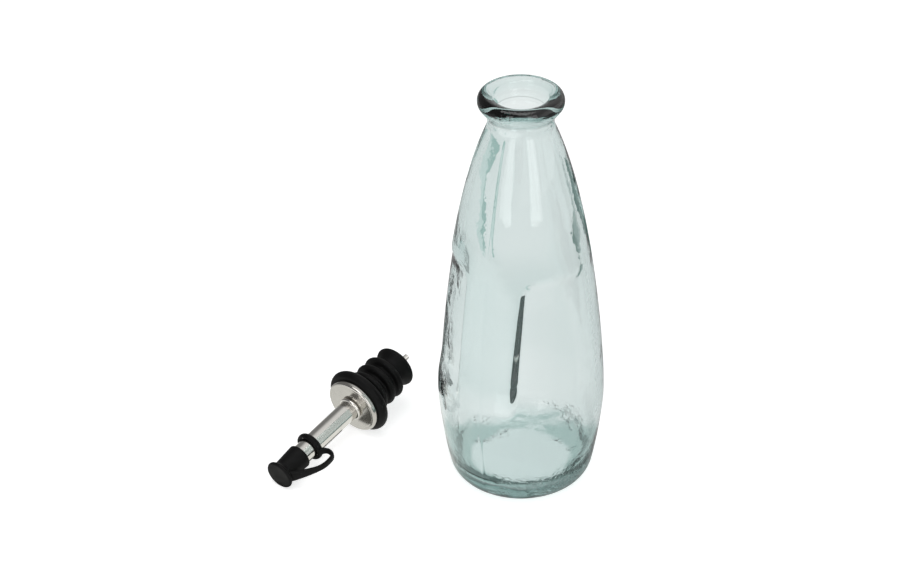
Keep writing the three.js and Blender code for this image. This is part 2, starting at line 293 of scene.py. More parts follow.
class Nodes:
    """A short way to write the nodes of a material or of the world."""

    def __init__(self, owner: Material | bpy.types.World) -> None:
        """Starts with no node but the output.

        Args:
            owner: The material or world that the nodes belong to.
        """
        self.owner = owner
        self.owner.use_nodes = True
        self.tree = owner.node_tree
        self.tree.nodes.clear()
        kind = "World" if isinstance(owner, bpy.types.World) else "Material"
        self.output = self.tree.nodes.new("ShaderNodeOutput" + kind)

    def add(self, kind: str, links: dict | None = None, **values: object) -> bpy.types.Node:
        """Adds a node.

        Args:
            kind: Node type, without its ShaderNode prefix.
            links: Input name or number to the socket that feeds it, or to a plain value.
            values: Properties of the node.

        Returns:
            The node.
        """
        node = self.tree.nodes.new("ShaderNode" + kind)
        for key, value in values.items():
            setattr(node, key, value)
        for key, value in (links or {}).items():
            if isinstance(value, Socket):
                self.tree.links.new(value, node.inputs[key])
            else:
                node.inputs[key].default_value = value
        return node

    def local(self, place: Matrix) -> Socket:
        """Object coordinates turned into a local frame.

        Args:
            place: The frame.

        Returns:
            The point in that frame, in metres.
        """
        source = self.add("TexCoord").outputs["Object"]
        links = {"Vector": source, "Location": place.to_translation(), "Rotation": place.to_euler()}
        return self.add("Mapping", links, vector_type="TEXTURE").outputs[0]

    def length(self, vector: Socket) -> Socket:
        """Length of a vector."""
        return self.add("VectorMath", {0: vector}, operation="LENGTH").outputs["Value"]

    def stretched(self, vector: Socket, scale: Colour) -> Socket:
        """A vector times a scale for each axis."""
        return self.add("Mapping", {"Vector": vector, "Scale": scale}).outputs[0]

    def noise(self, vector: Socket, scale: float, detail: float = 2.0) -> Socket:
        """Noise from 0 to 1 with features of about 1 / scale metres."""
        return self.add("TexNoise", {"Vector": vector, "Scale": scale, "Detail": detail}).outputs[0]

    def spread(self, value: Socket, low: float, high: float) -> Socket:
        """The middle half of a noise stretched from low to high."""
        ends = {"From Min": NOISE_MIDDLE[0], "From Max": NOISE_MIDDLE[1], "To Min": low, "To Max": high}
        return self.add("MapRange", {"Value": value, **ends}).outputs[0]

    def between(self, value: Socket, low: float, high: float) -> Socket:
        """0 at low, 1 at high, smooth between."""
        links = {"Value": value, "From Min": low, "From Max": high}
        return self.add("MapRange", links, interpolation_type="SMOOTHSTEP").outputs[0]

    def folded(self, operation: str, *values: Value) -> Socket:
        """Values taken together, two at a time.

        Args:
            operation: What the math nodes do.
            values: The values, in order.

        Returns:
            The result.
        """
        result = values[0]
        for value in values[1:]:
            result = self.add("Math", {0: result, 1: value}, operation=operation).outputs[0]
        return result

    def product(self, *values: Value) -> Socket:
        """Values times each other."""
        return self.folded("MULTIPLY", *values)

    def total(self, *values: Value) -> Socket:
        """Values added up."""
        return self.folded("ADD", *values)

    def mixed(self, share: Socket, first: Colour | Socket, second: Colour | Socket) -> Socket:
        """A colour between two, by a share."""
        ends = [end if isinstance(end, Socket) else (*end, 1) for end in (first, second)]
        return self.add("Mix", {"Factor": share, 6: ends[0], 7: ends[1]}, data_type="RGBA").outputs[2]

    def bump(self, height: Socket, depth: float, strength: float = 1.0) -> Socket:
        """A bumped normal, with the depth of the bumps in metres."""
        return self.add("Bump", {"Height": height, "Distance": depth, "Strength": strength}).outputs[0]

    def chosen(self, flag: Socket, off: Value, on: Value) -> Socket:
        """One value where the flag is 0 and another where it is 1."""
        return self.add("MapRange", {"Value": flag, "To Min": off, "To Max": on}).outputs[0]

    def finish(self, surface: bpy.types.Node) -> Material | bpy.types.World:
        """Plugs the surface in and returns the material or world."""
        self.tree.links.new(surface.outputs[0], self.output.inputs["Surface"])
        return self.owner


@dataclass(frozen=True)
class GlassFinish:
    """Clear moulded glass with a pale tint that deepens where it is thick."""

    slot: str = "glass"
    ior: float = 1.52
    tint: Colour = (0.1, 0.39, 0.36)
    density: float = 50.0
    ripple_scale: float = 90.0
    ripple_depth: float = 0.00012
    haze: Pair = (0.0, 0.03)
    mark_scale: float = 520.0
    mark_weight: float = 2.2
    mark_patch: Pair = (0.5, 0.62)
    patch_size: float = 12.0
    streak: Colour = (1, 1, 0.14)
    front: Pair = (0.0, -0.02)
    ledge_marks: Pair = (0.05, 0.066)
    ledge_ease: float = 0.004
    rim_marks: Pair = (0.018, 0.026)
    rim_heights: Pair = (0.026, 0.012)
    rim_weight: float = 3.0
    side_marks: Pair = (-0.014, -0.024)
    side_foot: Pair = (0.05, 0.07)
    side_top: Pair = (0.195, 0.17)
    shadow_tint: Colour = (0.9, 0.95, 0.94)

    def marks(self, nodes: Nodes, where: Socket) -> Socket:
        """Wrinkles that the mould leaves: on the ledge under the panels, round the floor and beside the band.

        Args:
            nodes: The material.
            where: The point on the bottle.

        Returns:
            Height of the wrinkles, 0 where there are none.
        """
        axes = nodes.add("SeparateXYZ", {0: where}).outputs
        height = axes["Z"]
        radius = nodes.length(nodes.stretched(where, (1, 1, 0)))
        front = nodes.between(axes["Y"], *self.front)
        low, high = self.ledge_marks
        ledge = nodes.product(
            front,
            nodes.between(height, low, low + self.ledge_ease),
            nodes.between(height, high, high - self.ledge_ease),
        )
        near_rim = nodes.between(radius, *self.rim_marks)
        rim = nodes.product(near_rim, nodes.between(height, *self.rim_heights), self.rim_weight)
        beside = nodes.product(
            front,
            nodes.between(axes["X"], *self.side_marks),
            nodes.between(height, *self.side_top),
            nodes.between(height, *self.side_foot),
        )
        patch = nodes.between(nodes.noise(where, self.mark_scale / self.patch_size), *self.mark_patch)
        wrinkles = nodes.product(nodes.total(ledge, rim), nodes.noise(where, self.mark_scale, 3.0))
        streaks = nodes.product(beside, nodes.noise(nodes.stretched(where, self.streak), self.mark_scale))
        return nodes.product(nodes.total(wrinkles, streaks), patch, self.mark_weight)

    def material(self) -> Material:
        """Glass with ripples in its skin, patches of faint haze, and absorption; lamps shine through it.

        Returns:
            The material.
        """
        nodes = Nodes(bpy.data.materials.new("pale_glass"))
        where = nodes.add("TexCoord").outputs["Object"]
        ripple = nodes.noise(where, self.ripple_scale, 3.0)
        haze = nodes.spread(nodes.noise(where, self.ripple_scale / 3), *self.haze)
        glass = nodes.add("BsdfPrincipled", {
            "Base Color": (1, 1, 1, 1),
            "Roughness": haze,
            "IOR": self.ior,
            "Transmission Weight": 1.0,
            "Normal": nodes.bump(nodes.total(ripple, self.marks(nodes, where)), self.ripple_depth),
        })
        clear = nodes.add("BsdfTransparent", {"Color": (*self.shadow_tint, 1)})
        shadow = nodes.add("LightPath").outputs["Is Shadow Ray"]
        surface = nodes.add("MixShader", {0: shadow, 1: glass.outputs[0], 2: clear.outputs[0]})
        inside = nodes.add("VolumeAbsorption", {"Color": (*self.tint, 1), "Density": self.density})
        nodes.tree.links.new(inside.outputs[0], nodes.output.inputs["Volume"])
        return nodes.finish(surface)


@dataclass(frozen=True)
class SteelFinish:
    """Stainless steel with fine marks round or along its axis and faint smudges."""

    name: str
    slot: str
    grain: Grain
    colour: Colour = (0.8, 0.78, 0.74)
    stain: Colour = (0.72, 0.7, 0.66)
    roughness: Pair = (0.11, 0.19)
    mark_scale: float = 5000.0
    mark_depth: float = 0.000004
    mark_stretch: Colour = (1, 0.02, 1)
    smudge_scale: float = 140.0

    def material(self, place: Matrix) -> Material:
        """Metal whose roughness follows its marks and smudges.

        Args:
            place: The frame whose y is the axis of the marks.

        Returns:
            The material.
        """
        nodes = Nodes(bpy.data.materials.new(self.name))
        local = nodes.local(place)
        if self.grain is Grain.LENGTHWISE:
            marks = nodes.noise(nodes.stretched(local, self.mark_stretch), self.mark_scale)
        else:
            radius = nodes.length(nodes.stretched(local, (1, 0, 1)))
            depth = nodes.add("SeparateXYZ", {0: local}).outputs["Y"]
            lines = nodes.add("CombineXYZ", {"X": radius, "Y": depth}).outputs[0]
            marks = nodes.noise(lines, self.mark_scale)
        smudge = nodes.noise(local, self.smudge_scale, 4.0)
        worn = nodes.product(marks, smudge, 2.0)
        metal = nodes.add("BsdfPrincipled", {
            "Base Color": nodes.mixed(smudge, self.colour, self.stain),
            "Metallic": 1.0,
            "Roughness": nodes.spread(worn, *self.roughness),
            "Normal": nodes.bump(marks, self.mark_depth),
        })
        return nodes.finish(metal)


@dataclass(frozen=True)
class RubberFinish:
    """Black moulded rubber: a fine moulded grain, a dull bloom and worn sheen."""

    slot: str = "rubber"
    colour: Colour = (0.0032, 0.0032, 0.0033)
    bloom: Colour = (0.008, 0.008, 0.008)
    roughness: Pair = (0.42, 0.62)
    ior: float = 1.5
    specular: float = 0.12
    grain_scale: float = 2600.0
    grain_depth: float = 0.00003
    bloom_scale: float = 190.0

    def material(self) -> Material:
        """Rubber whose colour and roughness vary with its bloom, bumped by its grain.

        Returns:
            The material.
        """
        nodes = Nodes(bpy.data.materials.new("black_rubber"))
        where = nodes.add("TexCoord").outputs["Object"]
        grain = nodes.noise(where, self.grain_scale, 3.0)
        bloom = nodes.noise(where, self.bloom_scale, 4.0)
        rubber = nodes.add("BsdfPrincipled", {
            "Base Color": nodes.mixed(bloom, self.colour, self.bloom),
            "Roughness": nodes.spread(bloom, *self.roughness),
            "IOR": self.ior,
            "Specular IOR Level": self.specular,
            "Normal": nodes.bump(grain, self.grain_depth),
        })
        return nodes.finish(rubber)


def dress(piece: Piece, material: Material, body: str, node: str) -> None:
    """Gives a piece its material and its place in the frame.

    Args:
        piece: The piece.
        material: Its material.
        body: The body that it rides on.
        node: The solid that it stands for.
    """
    piece.data.materials.append(material)
    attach(piece, body)
    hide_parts(node)
    LOG.info("%s rides on %s: %d faces", piece.name, body, len(piece.data.polygons))


@dataclass
class Bottle:
    """The moulded glass bottle: a turned body with two panels pressed into its front."""

    height: float = 220.0
    foot_radius: float = 26.4
    heel_radius: float = 10.6
    belly_radius: float = 42.3
    belly_height: float = 51.0
    neck_radius: float = 16.2
    neck_drop: float = 14.2
    lip_radius: float = 21.1
    lip_height: float = 8.2
    heel_lean: float = 17.0
    heel_handle: float = 7.0
    belly_handles: Pair = (10.5, 21.0)
    shoulder_lean: float = 23.0
    shoulder_handle: float = 47.4
    shoulder_drop: float = 5.0
    shoulder_step: float = 1.05
    neck_handle: float = 2.2
    lip_handle: float = 3.5
    lip_undercut: float = 45.0
    bore_radius: float = 12.4
    lip_round: float = 3.4
    edge_ease: float = 1.1
    edge_drop: float = 1.6
    edge_break: float = 0.25
    edge_handle: Pair = (1.0, 0.6)
    edge_pull: float = 0.8
    crease_ease: float = 1.05
    crease_drop: float = 5.0
    seat_ease: float = -0.2
    seat_drop: float = 8.4
    seat_ledge: float = 0.9
    ledge_handle: float = 0.2
    ledge_land: float = 3.0
    chill_lines: Pair = (213.2, 209.0)
    chill_depth: float = 0.12
    chill_width: float = 0.2
    chill_turn: float = -153.0
    chill_reach: Pair = (38.0, 72.0)
    wall: float = 3.3
    floor: float = 7.0
    inner_foot_radius: float = 21.0
    inner_heel_radius: float = 14.5
    band_half_width: float = 14.5
    band_lean: float = 3.2
    panel_span: Pair = (57.0, 134.0)
    panel_ramp: float = 16.0
    panel_step: float = 4.0
    panel_sharpness: float = 14.0
    panel_corner: float = 8.0
    panel_depth: float = 3.2
    panel_fade: Pair = (30.0, 95.0)
    inner_dent: float = 3.0
    inner_step: Pair = (-20.0, 11.0)
    seam_turn: float = -2.2
    seam_height: float = 0.2
    seam_width: float = 0.45
    ridge_height: float = 0.22
    ridge_width: float = 7.0
    heel_line: float = 8.6
    heel_line_width: float = 0.5
    side_from_bore: float = 4.0
    side_heights: Pair = (2.0, 14.0)
    neck_fade: Pair = (40.0, 20.0)
    ripple: float = 0.22
    wave_count: int = 14
    wave_turns: tuple[int, int] = (1, 9)
    wave_rise: float = 0.16
    columns: int = 224
    column_shares: tuple[float, ...] = (0, 0.17, 0.3, 0.7, 1)
    column_margin: float = 0.5
    seed: int = 11
    finish: GlassFinish = field(default_factory=GlassFinish)

    def lower_side(self, foot: float, floor: float, heel: float, belly: float, counts: Pair) -> Array:
        """From the foot to the belly: a round heel, then a cubic that ends upright.

        Args:
            foot: Radius where the heel starts.
            floor: Height there.
            heel: Radius of the heel's round.
            belly: Radius at the belly.
            counts: Points on the heel and on the side.

        Returns:
            Radius and height, one row each.
        """
        turn = arc((foot, floor + heel), heel, -90, -self.heel_lean, counts[0])
        lean = math.radians(self.heel_lean)
        start = turn[-1]
        handle = start + self.heel_handle * np.array([math.sin(lean), math.cos(lean)])
        top = (belly, self.belly_height)
        below = (belly, self.belly_height - self.belly_handles[0])
        return outline(turn, bezier(start, handle, below, top, counts[1]))

    def upper_side(self, belly: float, shoulder: Array, neck: Array, counts: Pair) -> Array:
        """From the belly to the narrowest point of the neck: a long cubic to the shoulder, then a short one.

        Args:
            belly: Radius at the belly.
            shoulder: Radius and height of the shoulder.
            neck: Radius and height of the neck.
            counts: Points on the body and on the nape.

        Returns:
            Radius and height, one row each.
        """
        lean = math.radians(self.shoulder_lean)
        inwards = np.array([-math.sin(lean), math.cos(lean)])
        start = (belly, self.belly_height)
        above = (belly, self.belly_height + self.belly_handles[1])
        reach = self.shoulder_drop / 2
        body = bezier(start, above, shoulder - self.shoulder_handle * inwards, shoulder, counts[0])
        nape = bezier(shoulder, shoulder + reach * inwards, neck - (0, reach), neck, counts[1])
        return outline(body, nape)

    def profiles(self) -> tuple[Array, Array]:
        """The bottle's two outlines, each a row of curves.

        Returns:
            The outside from the foot to the mouth, and the inside from the mouth down to the floor.
        """
        neck = np.array([self.neck_radius, self.height - self.neck_drop])
        shoulder = neck + (self.shoulder_step, -self.shoulder_drop)
        middle = (self.lip_radius - self.lip_round, self.height - self.lip_height / 2)
        lip = arc(middle, (self.lip_round, self.lip_height / 2), -self.lip_undercut, 90, 28)
        tangent = (lip[1] - lip[0]) / np.linalg.norm(lip[1] - lip[0])
        throat = bezier(neck, neck + (0, self.neck_handle), lip[0] - self.lip_handle * tangent, lip[0], 12)
        outside = outline(
            line((0, 0), (self.foot_radius, 0), 8),
            self.lower_side(self.foot_radius, 0, self.heel_radius, self.belly_radius, (14, 30)),
            self.upper_side(self.belly_radius, shoulder, neck, (120, 10)),
            throat,
            lip,
        )
        bore = np.array([self.bore_radius, neck[1]])
        inner_shoulder = shoulder - (self.neck_radius - self.bore_radius, 0)
        belly = self.belly_radius - self.wall
        edge = np.array([self.bore_radius + self.edge_ease, self.height - self.edge_drop])
        crease = np.array([self.bore_radius + self.crease_ease, self.height - self.crease_drop])
        seat = np.array([self.bore_radius + self.seat_ease, self.height - self.seat_drop])
        ledge = np.array([self.bore_radius, seat[1] - self.seat_ledge])
        corner = edge + (self.edge_break, self.edge_break)
        below = edge - (0, 2 * self.edge_break)
        pulled = [end + self.edge_pull * (edge - end) for end in (corner, below)]
        handle = np.array([0, self.ledge_handle])
        land = ledge - (0, self.ledge_land)
        foot = (self.inner_foot_radius, self.floor)
        inside = outline(
            bezier(lip[-1], lip[-1] - (self.lip_round / 2, 0), edge + self.edge_handle, corner, 20),
            bezier(corner, *pulled, below, 8),
            line(below, crease, 8),
            line(crease, seat, 26),
            bezier(seat, seat - handle, ledge + handle, ledge, 12),
            line(ledge, land, 20),
            line(land, bore, 6),
            self.upper_side(belly, inner_shoulder, bore, (84, 8))[::-1],
            self.lower_side(*foot, self.inner_heel_radius, belly, (14, 22))[::-1],
            line(foot, (0, self.floor), 8),
        )
        return outside, inside

    def angles(self, radius: Array) -> Array:
        """Angles of the columns at each row, close together where the band drops to the panels.

        On each side the columns share out four stretches: the band, its edge, the panel and the back. The
        first two have the same width in millimetres at every height, so the columns follow the band's edges.

        Args:
            radius: Radius of each row.

        Returns:
            Angles, rows by columns.
        """
        reach = np.maximum(radius, self.foot_radius)[:, None]
        half = self.columns // 2
        shares = np.array(self.column_shares) * half
        knots = np.hstack([
            0 * reach,
            (self.band_half_width - self.column_margin) / reach,
            (self.band_half_width + self.panel_step + self.column_margin) / reach,
            0 * reach + math.radians(self.panel_fade[1]),
            0 * reach + math.pi,
        ])
        column = np.arange(half)
        stretch = np.searchsorted(shares, column, side="right") - 1
        part = (column - shares[stretch]) / (shares[stretch + 1] - shares[stretch])
        side = knots[:, stretch] * (1 - part) + knots[:, stretch + 1] * part
        mirrored = np.hstack([np.full((len(side), 1), math.pi), side[:, :0:-1]])
        return np.hstack([side, 2 * math.pi - mirrored])

    def pressed(self, angle: Array, height: Array, radius: Array, inner: bool) -> Array:
        """How far the glass is pressed in: depth times the ramps of edge and bottom and the fade to the back.

        Args:
            angle: Angle from the front, from -pi to pi.
            height: Height of each point.
            radius: Radius of each point.
            inner: True on the inner wall, which goes in behind band and panels alike.

        Returns:
            Depth in millimetres.
        """
        low, high = self.panel_span
        if inner:
            edge = smooth_step(high - height, *self.inner_step)
        else:
            lean = self.band_lean * (height - (low + high) / 2) / (high - low)
            from_band = np.abs(angle * radius - lean) - self.band_half_width
            corner_x = np.maximum(self.panel_corner - from_band, 0)
            corner_y = np.maximum(self.panel_corner - (high - height), 0)
            inset = self.panel_corner - np.hypot(corner_x, corner_y)
            edge = soft_ramp(inset, self.panel_step, self.panel_sharpness)
        bottom = smooth_step(height, low, low + self.panel_ramp)
        fade = 1 - smooth_step(np.degrees(np.abs(angle)), *self.panel_fade)
        return (self.inner_dent if inner else self.panel_depth) * edge * bottom * fade

    def waves(self, angle: Array, height: Array) -> Array:
        """Unevenness of blown glass, about -1 to 1: cosines of whole turns round and slow turns upwards.

        Args:
            angle: Angle of each point.
            height: Height of each point.

        Returns:
            The sum at each point.
        """
        draw = np.random.default_rng(self.seed)
        turns = draw.integers(*self.wave_turns, self.wave_count)
        rise = draw.uniform(-self.wave_rise, self.wave_rise, self.wave_count)
        phase = draw.uniform(0, 2 * np.pi, self.wave_count)
        weight = draw.uniform(0.5, 1, self.wave_count) / np.sqrt(turns)
        each = np.cos(angle[..., None] * turns + height[..., None] * rise + phase)
        return (each * weight).sum(axis=-1) / weight.sum() * 2

    def build(self) -> None:
        """Turns the outline, presses the panels in, raises the mould's seams and dresses the bottle."""
        outside, inside = self.profiles()
        profile = outline(outside, inside)
        angle = self.angles(profile[:, 0])
        signed = np.where(angle > math.pi, angle - 2 * math.pi, angle)
        radius = np.broadcast_to(profile[:, :1], angle.shape)
        height = np.broadcast_to(profile[:, 1:], angle.shape)
        is_inside = np.arange(len(profile))[:, None] >= len(outside)
        inner, outer = (self.pressed(signed, height, radius, within) for within in (True, False))
        pressed = np.where(is_inside, inner, outer)
        side = smooth_step(radius, self.bore_radius, self.bore_radius + self.side_from_bore)
        side = side * smooth_step(height, *self.side_heights)
        below_neck = 1 - smooth_step(height, *(self.height - drop for drop in self.neck_fade))
        uneven = self.ripple * self.waves(angle, height) * side * below_neck * is_inside
        from_seam = np.abs(signed - math.radians(self.seam_turn))
        off_seam = radius * np.minimum(from_seam, np.abs(math.pi - from_seam))
        seam = bump(off_seam, self.seam_width) + bump(height - self.heel_line, self.heel_line_width)
        ridge = self.ridge_height * np.maximum(1 - off_seam / self.ridge_width, 0)
        raised = (self.seam_height * np.minimum(seam, 1) + ridge * below_neck) * side * ~is_inside
        marks = sum(bump(height - level, self.chill_width) for level in self.chill_lines)
        from_chill = np.abs((np.degrees(signed) - self.chill_turn + 180) % 360 - 180)
        grooved = self.chill_depth * marks * (1 - smooth_step(from_chill, *self.chill_reach)) * is_inside
        scale = 1 + (raised + grooved - pressed - uneven) / np.maximum(radius, self.bore_radius)
        local = turned(profile, angle) * np.stack([scale, np.ones_like(scale), scale], axis=-1)
        upright = Place(np.zeros(3), np.array([1.0, 0, 0]), np.array([0, 0, 1.0]), np.array([0, -1.0, 0]))
        piece = solid("glass_bottle", upright.points(local), Ends.POLES)
        dress(piece, self.finish.material(), "bottle", "bottle_glass")


@dataclass
class Spout:
    """The steel of the pourer: the spout tube, its bead collar, the pressed disc and the air tube."""

    place: Place
    fit_gap: float = 0.3
    tube_radius: float = 5.5
    tube_wall: float = 0.5
    length: float = 52.0
    tip_slant: float = 30.0
    tube_end: float = 32.0
    disc_radius: float = 15.4
    disc_height: float = 3.1
    disc_sheet: float = 1.0
    disc_edge: float = 1.3
    groove: float = 0.12
    groove_inset: float = 0.7
    groove_width: float = 0.3
    skirt_round: float = 0.3
    collar_radius: float = 6.6
    collar_length: float = 2.0
    air_radius: float = 1.45
    air_wall: float = 0.4
    air_span: Pair = (-46.4, 41.4)
    air_turn: float = 45.0
    polished: SteelFinish = SteelFinish("polished_steel", "polished_steel", Grain.LENGTHWISE)
    satin: SteelFinish = SteelFinish(
        "satin_steel", "satin_steel", Grain.TURNED,
        colour=(0.6, 0.58, 0.545), stain=(0.5, 0.485, 0.455), roughness=(0.1, 0.22), mark_depth=0.000003,
    )

    def __post_init__(self) -> None:
        """Works out where the disc's face and the spout's longest point lie along the axis."""
        self.face = -self.fit_gap - self.disc_height
        self.tip = self.face - self.length

    def tube(self) -> Piece:
        """The spout tube: a thin ring profile whose lower end follows a slanted plane.

        A point moves to keep its share between the plane y = tip + (radius - z) tan(slant) and the end.

        Returns:
            The piece.
        """
        bore = self.tube_radius - self.tube_wall
        tip, end = self.tip, self.tube_end
        ease = self.tube_wall / 2
        rim = arc((bore + ease, end - ease), ease, 0, 180, 9)
        lip = arc((bore + ease, tip + ease), ease, 180, 360, 9)
        outer = line((self.tube_radius, tip + ease), (self.tube_radius, end - ease), 40)
        inner = line((bore, end - ease), (bore, tip + ease), 40)
        profile = outline(lip, outer, rim, inner)[:-1]
        local = turned(profile, round_angles(96))
        slope = math.tan(math.radians(self.tip_slant))
        share = (end - local[..., 1]) / (end - tip)
        local[..., 1] += share * (self.tube_radius - local[..., 2]) * slope
        return solid("steel_spout", self.place.points(local), Ends.RING)

    def collar(self) -> Piece:
        """The bead at the foot of the spout: half an ellipse turned round the tube.

        Returns:
            The piece.
        """
        foot = self.face - self.fit_gap / 2
        inner = self.tube_radius + self.fit_gap / 2
        radii = (self.collar_radius - inner, self.collar_length / 2)
        bead = arc((inner, foot - radii[1]), radii, -90, 90, 18)
        profile = outline(bead, line(bead[-1], bead[0], 4))[:-1]
        return solid("bead_collar", self.place.points(turned(profile, round_angles(96))), Ends.RING)

    def disc(self) -> Piece:
        """The pressed disc: a flat face with a fine turned groove, a round edge and a skirt.

        Returns:
            The piece.
        """
        face, back = self.face, -self.fit_gap / 2
        inner = self.tube_radius + self.fit_gap / 2
        skirt = self.disc_radius - self.disc_sheet
        edge_start = self.disc_radius - self.disc_edge
        edge = arc((edge_start, face + self.disc_edge), self.disc_edge, -90, 0, 14)
        across = line((inner, face), (edge_start, face), 40)
        across[:, 1] += self.groove * bump(across[:, 0] - edge_start + self.groove_inset, self.groove_width)
        ease = self.skirt_round
        lip = arc((self.disc_radius - ease, back - ease), ease, 0, 90, 5)
        behind = face + self.disc_sheet
        profile = outline(
            across,
            edge,
            lip,
            line((skirt, back), (skirt, behind), 4),
            line((skirt, behind), (inner, behind), 8),
        )
        return solid("steel_disc", self.place.points(turned(profile, round_angles(144))), Ends.RING)

    def air_tube(self) -> Piece:
        """The thin air tube, beside the axis inside the spout.

        Returns:
            The piece.
        """
        bore = self.air_radius - self.air_wall
        low, high = self.air_span
        ease = self.air_wall / 2
        middle = self.air_radius - ease
        profile = outline(
            arc((middle, low + ease), ease, 180, 360, 9),
            arc((middle, high - ease), ease, 0, 180, 9),
            line((bore, high - ease), (bore, low + ease), 6),
        )[:-1]
        local = turned(profile, round_angles(40))
        offset = self.tube_radius - self.tube_wall - self.air_radius - self.fit_gap
        turn = math.radians(self.air_turn)
        local += offset * np.array([math.sin(turn), 0, math.cos(turn)])
        return solid("air_tube_pipe", self.place.points(local), Ends.RING)

    def build(self) -> None:
        """Makes the steel pieces and dresses them."""
        where = self.place.matrix()
        polished = self.polished.material(where)
        satin = self.satin.material(where)
        dress(self.tube(), polished, "pourer", "spout_tube")
        dress(self.collar(), polished, "pourer", "spout_collar")
        dress(self.disc(), satin, "pourer", "flange_disc")
        dress(self.air_tube(), polished, "pourer", "air_tube")


@dataclass
class Stopper:
    """The rubber stopper: a pad under the disc, a round flange, ribs and a flared end."""

    place: Place
    spout: Spout
    flange_radius: float = 18.5
    flange_thickness: float = 6.0
    rib_count: int = 3
    rib_radius: float = 12.6
    rib_pitch: float = 6.65
    rib_nose: float = 1.9
    first_rib: float = 10.6
    core_radius: float = 9.4
    bell_radius: float = 11.7
    bell_length: float = 9.2
    bell_round: float = 1.6
    bell_rim: float = 2.6
    bell_dish: float = 3.0
    waist_handle: float = 3.2
    flare_handle: Pair = (0.5, 2.4)
    finish: RubberFinish = field(default_factory=RubberFinish)

    def profile(self) -> Array:
        """The closed outline: pad, flange, ribs with round noses and round roots, bell, dish and bore.

        Returns:
            Radius and height, one row each.
        """
        gap = self.spout.fit_gap / 2
        bore = self.spout.tube_radius + gap
        pad = self.spout.disc_radius - self.spout.disc_sheet - gap
        pad_top = self.spout.face + self.spout.disc_sheet + gap
        half = self.flange_thickness / 2
        nose = self.rib_radius - self.rib_nose
        root = self.rib_pitch / 2 - self.rib_nose
        stretches = [
            line((bore, pad_top), (pad, pad_top), 10),
            line((pad, pad_top), (pad, 0), 4),
            arc((self.flange_radius - half, half), half, -90, 90, 28),
            line((self.flange_radius - half, 2 * half), (self.core_radius + root, 2 * half), 8),
        ]
        for i in range(self.rib_count):
            middle = self.first_rib + i * self.rib_pitch
            valley = middle - self.rib_pitch / 2
            stretches.append(arc((self.core_radius + root, valley), root, 270, 90, 15))
            stretches.append(arc((nose, middle), self.rib_nose, -90, 90, 20))
        last = self.first_rib + (self.rib_count - 1) * self.rib_pitch
        end = last + self.rib_nose + self.bell_length
        valley = last + self.rib_pitch / 2
        flare = np.array([self.bell_radius, end - self.bell_round])
        waist = np.array([self.core_radius, valley])
        ease = self.bell_round
        stretches += [
            arc((self.core_radius + root, valley), root, 270, 180, 8),
            bezier(waist, waist + (0, self.waist_handle), flare - self.flare_handle, flare, 16),
            arc((self.bell_radius - ease, flare[1]), ease, 0, 90, 10),
            line((self.bell_radius - self.bell_rim, end), (bore, end - self.bell_dish), 8),
            line((bore, end - self.bell_dish), (bore, pad_top), 12),
        ]
        return outline(*stretches)[:-1]

    def build(self) -> None:
        """Makes the stopper and dresses it."""
        local = turned(self.profile(), round_angles(144))
        piece = solid("rubber_stopper", self.place.points(local), Ends.RING)
        dress(piece, self.finish.material(), "pourer", "stopper")


